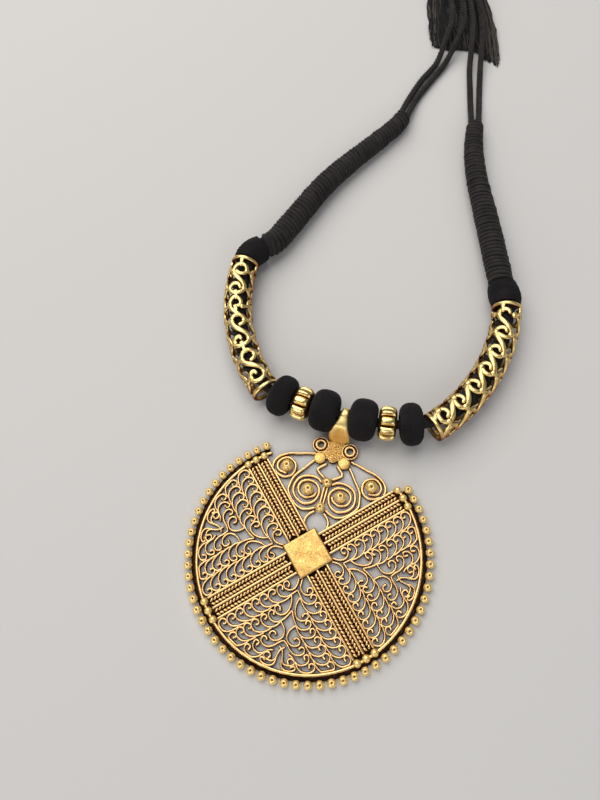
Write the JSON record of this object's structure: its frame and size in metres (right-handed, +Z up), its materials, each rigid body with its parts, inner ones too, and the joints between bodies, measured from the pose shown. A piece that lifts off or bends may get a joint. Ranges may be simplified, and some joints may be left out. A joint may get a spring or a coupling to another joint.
{
  "type": "tassel necklace",
  "caption": "Short black cord necklace with a round pierced metal pendant, thread-wound and fluted beads, bent pierced tubes, a neck knot and a thread tassel.",
  "frame": {"origin": "on the surface it lies on, under the middle of the laid-out necklace", "axes": "+X to the right with the pendant's face up and +Y away, +Y from the pendant to the back of the neck, +Z up from the surface"},
  "size_m": [0.0916, 0.2848, 0.0124],
  "materials": {
    "gold": "antique gold, dark in the recesses",
    "thread": "wound black thread",
    "cord": "black cord"
  },
  "bodies": {
    "root": {"pendant": "gold", "stringing_cord": "cord", "thread_bead_1": "thread", "thread_bead_2": "thread", "thread_bead_3": "thread", "thread_bead_4": "thread", "fluted_bead_left": "gold", "fluted_bead_right": "gold", "tube_left": "gold", "tube_right": "gold", "collar_left": "thread", "collar_right": "thread", "neck_cord_left": "cord", "neck_cord_right": "cord", "strand_left_1": "cord", "strand_left_2": "cord", "strand_right_1": "cord", "strand_right_2": "cord", "neck_knot": "thread", "tassel": "thread"}
  },
  "joints": []
}
